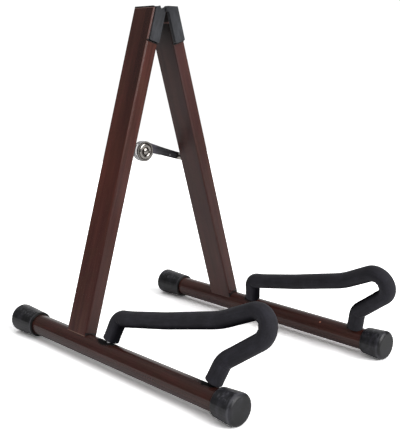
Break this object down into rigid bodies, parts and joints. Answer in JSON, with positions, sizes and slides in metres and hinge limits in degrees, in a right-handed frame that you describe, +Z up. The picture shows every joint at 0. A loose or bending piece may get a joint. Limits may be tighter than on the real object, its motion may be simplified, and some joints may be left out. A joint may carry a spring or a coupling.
{
  "type": "folding guitar stand",
  "caption": "Folding A-frame guitar stand with foam-sleeved wire yokes, rubber-capped base tubes and a jointed brace between the uprights.",
  "frame": {"origin": "on the floor under the middle of the open stand", "axes": "+Z up, -Y towards the front where the yokes hold the guitar, +X towards the right side frame as seen from the front"},
  "size_m": [0.2816, 0.4088, 0.4051],
  "materials": {
    "brown_paint": "satin dark brown paint",
    "dark_steel": "dark satin steel",
    "bare_steel": "bright zinc",
    "chrome": "polished",
    "black_rubber": "matt moulded rubber",
    "black_plastic": "semi-gloss moulding",
    "foam": "fine closed-cell foam"
  },
  "bodies": {
    "right_frame": {"right_base_tube": "brown_paint", "right_upright": "brown_paint", "right_top_plug": "black_plastic", "right_front_cap": "black_rubber", "right_rear_cap": "black_rubber", "right_front_bracket": "dark_steel", "right_rear_bracket": "dark_steel", "right_yoke_rod": "bare_steel", "right_yoke_foam": "foam", "hinge_pin": "bare_steel", "right_link_rivet": "bare_steel", "right_link_spacer": "bare_steel"},
    "left_frame": {"left_base_tube": "brown_paint", "left_upright": "brown_paint", "left_top_plug": "black_plastic", "left_front_cap": "black_rubber", "left_rear_cap": "black_rubber", "left_front_bracket": "dark_steel", "left_rear_bracket": "dark_steel", "left_yoke_rod": "bare_steel", "left_yoke_foam": "foam", "left_link_rivet": "bare_steel", "left_link_spacer": "bare_steel"},
    "right_brace_link": {"right_link": "dark_steel", "brace_rear_washer": "chrome", "brace_nut": "chrome"},
    "left_brace_link": {"left_link": "dark_steel", "brace_screw": "chrome", "brace_front_washer": "chrome", "brace_shim": "bare_steel"}
  },
  "joints": [
    {"name": "fold", "type": "hinge", "parent": "right_frame", "child": "left_frame", "pos_m": [0, 0.0769, 0.40181], "axis": [0, -1, 0], "range_deg": [0, 30.7]},
    {"name": "right_link_swing", "type": "hinge", "parent": "right_frame", "child": "right_brace_link", "pos_m": [0.06052, 0.0769, 0.21916], "axis": [0, 1, 0], "range_deg": [0, 54.55]},
    {"name": "left_link_swing", "type": "hinge", "parent": "left_frame", "child": "left_brace_link", "pos_m": [-0.06052, 0.0769, 0.21916], "axis": [0, -1, 0], "range_deg": [0, 54.55]}
  ],
  "couplings": [
    {"joint": "right_link_swing", "follows": "fold", "ratio": 1.7765},
    {"joint": "left_link_swing", "follows": "fold", "ratio": 1.7765}
  ]
}
